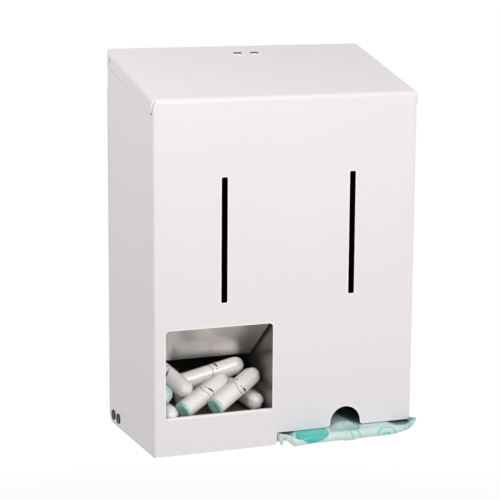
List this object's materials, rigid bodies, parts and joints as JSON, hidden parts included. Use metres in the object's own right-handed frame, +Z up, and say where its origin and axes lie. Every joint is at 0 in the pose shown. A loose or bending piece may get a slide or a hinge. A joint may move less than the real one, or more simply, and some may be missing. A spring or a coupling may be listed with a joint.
{
  "type": "tampon and pad dispenser",
  "caption": "Wall-mounted white sheet-steel dispenser with a tampon tray behind a front opening and a pad stack over a slot; its hood tips forward to refill.",
  "frame": {"origin": "centre of the four wall holes, on the rear face of the wall plate", "axes": "+X to the right of someone facing the front, +Y into the wall, +Z up"},
  "size_m": [0.218, 0.1285, 0.3009],
  "materials": {
    "hood_white": "satin white powder coat",
    "plate_steel": "zinc-plated sheet steel",
    "spring_steel": "blued spring steel",
    "pin_steel": "dark oiled steel",
    "washer_nylon": "natural nylon",
    "bin_steel": "bright rolled steel",
    "tampon_film": "thin printed film wrap",
    "pad_film": "thin printed film wrap"
  },
  "bodies": {
    "wall_plate": {"back_plate": "plate_steel", "latch_bracket": "plate_steel", "latch_pin": "pin_steel", "latch_spring": "spring_steel", "latch_rivets": "pin_steel"},
    "latch": {"latch_plate": "plate_steel"},
    "hood": {"hood": "hood_white", "catch_strip": "plate_steel", "divider": "bin_steel", "tampon_tray": "bin_steel", "hopper_baffle": "bin_steel", "pad_shelf": "bin_steel", "magazine_back": "bin_steel", "pivot_pins": "pin_steel", "stop_pins": "pin_steel", "pin_washers": "washer_nylon", "flange_rivets": "hood_white", "tampon_01": "tampon_film", "tampon_02": "tampon_film", "tampon_03": "tampon_film", "tampon_04": "tampon_film", "tampon_05": "tampon_film", "tampon_06": "tampon_film", "tampon_07": "tampon_film", "tampon_08": "tampon_film", "tampon_09": "tampon_film", "tampon_10": "tampon_film"},
    "pad": {"front_pad": "pad_film"}
  },
  "joints": [
    {"name": "hood_tip", "type": "hinge", "parent": "wall_plate", "child": "hood", "pos_m": [0, -0.024, -0.1528], "axis": [1, 0, 0], "range_deg": [0, 75]},
    {"name": "latch_press", "type": "hinge", "parent": "wall_plate", "child": "latch", "pos_m": [0.0024, -0.008, 0.123], "axis": [1, 0, 0], "range_deg": [0, 13], "stiffness_Nm_per_rad": 0.4, "springref_deg": -8.59, "deforming": ["latch_spring"]},
    {"name": "pad_pull", "type": "slide", "parent": "hood", "child": "pad", "axis": [0, -1, 0], "range_m": [0, 0.085]}
  ]
}
